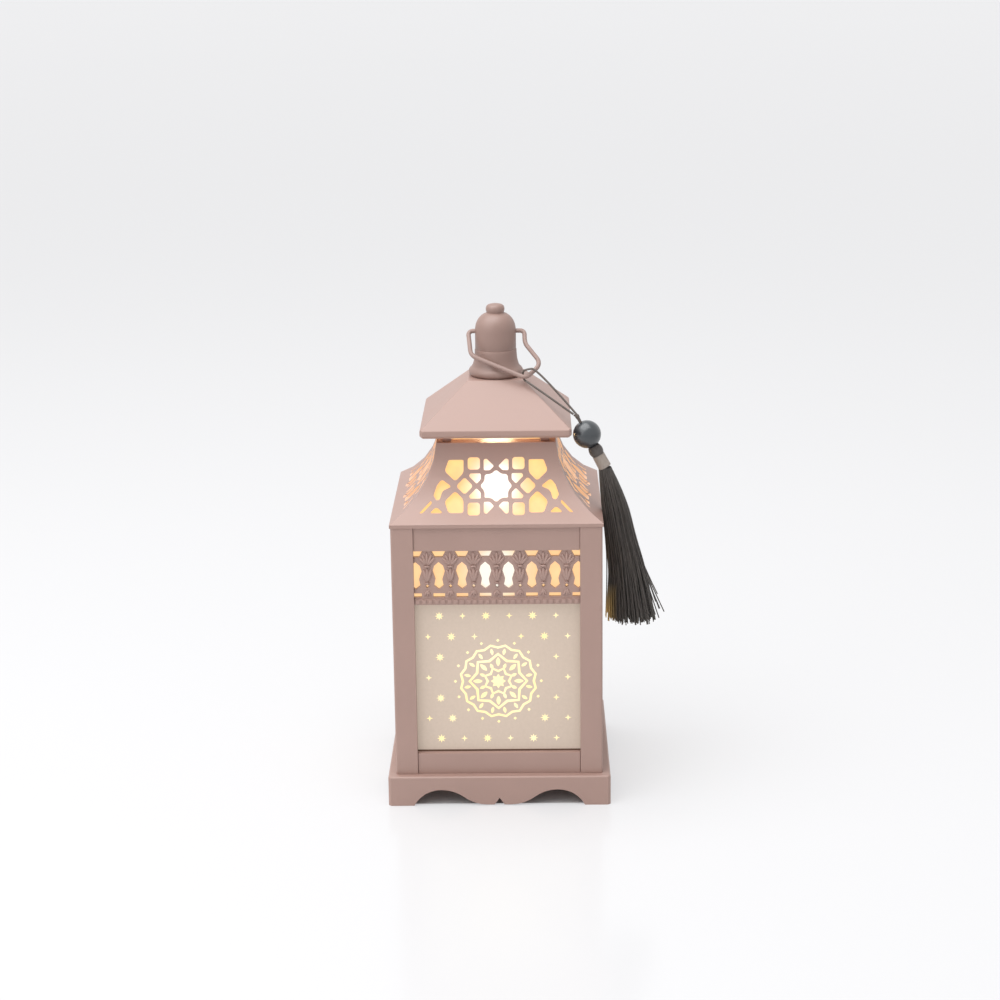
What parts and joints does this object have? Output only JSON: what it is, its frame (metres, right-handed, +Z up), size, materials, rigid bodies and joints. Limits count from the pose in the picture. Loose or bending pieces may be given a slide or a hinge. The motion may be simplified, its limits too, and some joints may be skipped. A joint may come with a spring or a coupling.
{
  "type": "table lantern",
  "caption": "Small square table lantern with a pierced star-lattice roof, lit side sheets, a bell finial with a swinging wire handle, and a tassel hung on the handle",
  "frame": {"origin": "middle of the plinth's foot line, on the table", "axes": "+Z up along the lantern's height, front towards -Y, +X to the viewer's right"},
  "size_m": [0.1024, 0.085, 0.1869],
  "materials": {
    "body_paint": "moulded plastic in dusty pink, satin matte",
    "wire_paint": "painted wire in the body's pink",
    "steel": "plain plated steel",
    "inner_plastic": "pale unpainted moulding",
    "cell_jacket": "plain shrink sleeve",
    "switch_plastic": "black moulding",
    "lead_jacket": "soft lead jacket",
    "board": "white board lacquer",
    "light_chip": "warm light chips",
    "frosted_tube": "frosted tube, lit from inside",
    "lit_sheet": "tinted translucent sheet with a pale printed pattern, lit from behind",
    "roof_film": "translucent film, lit from behind",
    "tassel_yarn": "fine glossy strands in grey brown",
    "tassel_wrap": "wound thread in pale mauve grey",
    "bead_glass": "dark blue-grey pearl glaze"
  },
  "bodies": {
    "lantern": {"plinth": "body_paint", "battery_box": "inner_plastic", "battery_cells": "cell_jacket", "battery_contacts": "steel", "switch_body": "switch_plastic", "switch_lead": "lead_jacket", "lamp_board": "board", "lamp_chips": "light_chip", "lamp_tube": "frosted_tube", "corner_post_front_right": "body_paint", "corner_post_rear_right": "body_paint", "corner_post_rear_left": "body_paint", "corner_post_front_left": "body_paint", "pierced_panel_front": "body_paint", "pierced_panel_right": "body_paint", "pierced_panel_rear": "body_paint", "pierced_panel_left": "body_paint", "bottom_rail_front": "body_paint", "bottom_rail_right": "body_paint", "bottom_rail_rear": "body_paint", "bottom_rail_left": "body_paint", "lit_sheet_front": "lit_sheet", "lit_sheet_right": "lit_sheet", "lit_sheet_rear": "lit_sheet", "lit_sheet_left": "lit_sheet", "flared_roof": "body_paint", "roof_liner": "roof_film", "cap": "body_paint", "finial": "body_paint"},
    "bail": {"handle": "wire_paint", "tassel_cord": "tassel_yarn"},
    "tassel": {"cord_join": "tassel_yarn", "tassel_bead": "bead_glass", "tassel_head": "tassel_wrap", "tassel_binding": "tassel_wrap", "tassel_skirt": "tassel_yarn"},
    "door": {"battery_door": "body_paint"},
    "slider": {"switch_slider": "switch_plastic"}
  },
  "joints": [
    {"name": "handle_swing", "type": "hinge", "parent": "lantern", "child": "bail", "pos_m": [0, 0, 0.1764], "axis": [-1, 0, 0], "range_deg": [0, 278]},
    {"name": "tassel_hang", "type": "hinge", "parent": "bail", "child": "tassel", "pos_m": [0.03057, -0.01961, 0.14732], "axis": [-1, 0, 0], "range_deg": [-278, 0]},
    {"name": "door_hinge", "type": "hinge", "parent": "lantern", "child": "door", "pos_m": [-0.02435, 0, 0.0104], "axis": [0, 1, 0], "range_deg": [0, 85]},
    {"name": "switch_slide", "type": "slide", "parent": "lantern", "child": "slider", "axis": [1, 0, 0], "range_m": [0, 0.0035]}
  ],
  "couplings": [
    {"joint": "tassel_hang", "follows": "handle_swing", "ratio": -1}
  ]
}
